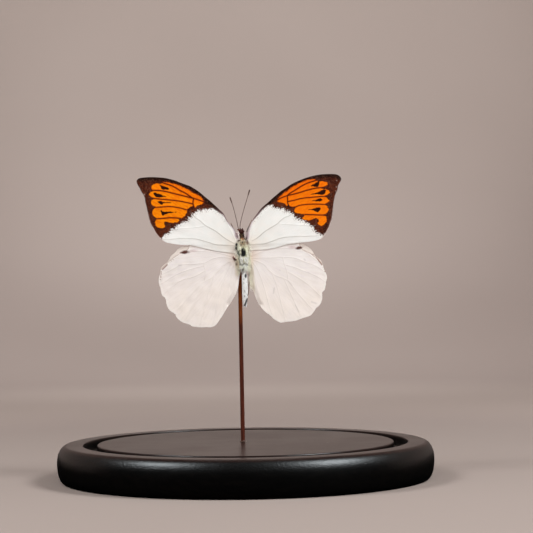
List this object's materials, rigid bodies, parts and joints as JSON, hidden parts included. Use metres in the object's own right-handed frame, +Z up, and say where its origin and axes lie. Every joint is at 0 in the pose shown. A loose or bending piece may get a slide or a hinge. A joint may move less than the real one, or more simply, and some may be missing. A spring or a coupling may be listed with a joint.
{
  "type": "mounted butterfly on round base",
  "caption": "Spread white butterfly with orange-tipped forewings on a thin rod, standing in a round turned wood base with a groove for a glass dome's rim.",
  "frame": {"origin": "centre of the base's underside", "axes": "+Z up, -Y the side that the butterfly's upper surface faces, +X the insect's right as seen in front"},
  "size_m": [0.1704, 0.1704, 0.1373],
  "materials": {
    "base_wood": "satin near-black brown lacquer on turned wood",
    "stem_metal": "satin copper-brown lacquered rod",
    "body_fur": "matt cream and grey-green hair scales",
    "head_chitin": "matt dark brown chitin and short hair",
    "abdomen_scales": "matt bluish-white scales",
    "forewing": "matt scaled wing, white with a dark and orange tip",
    "hindwing": "matt scaled wing, creamy white",
    "antenna_chitin": "satin brown chitin",
    "leg_chitin": "satin grey-brown chitin"
  },
  "bodies": {
    "root": {"base": "base_wood", "stem": "stem_metal", "thorax": "body_fur", "head": "head_chitin", "abdomen": "abdomen_scales", "forewing_left": "forewing", "forewing_right": "forewing", "hindwing_left": "hindwing", "hindwing_right": "hindwing", "antenna_left": "antenna_chitin", "antenna_right": "antenna_chitin", "foreleg_left": "leg_chitin", "foreleg_right": "leg_chitin", "midleg_left": "leg_chitin", "midleg_right": "leg_chitin", "hindleg_left": "leg_chitin", "hindleg_right": "leg_chitin"}
  },
  "joints": []
}
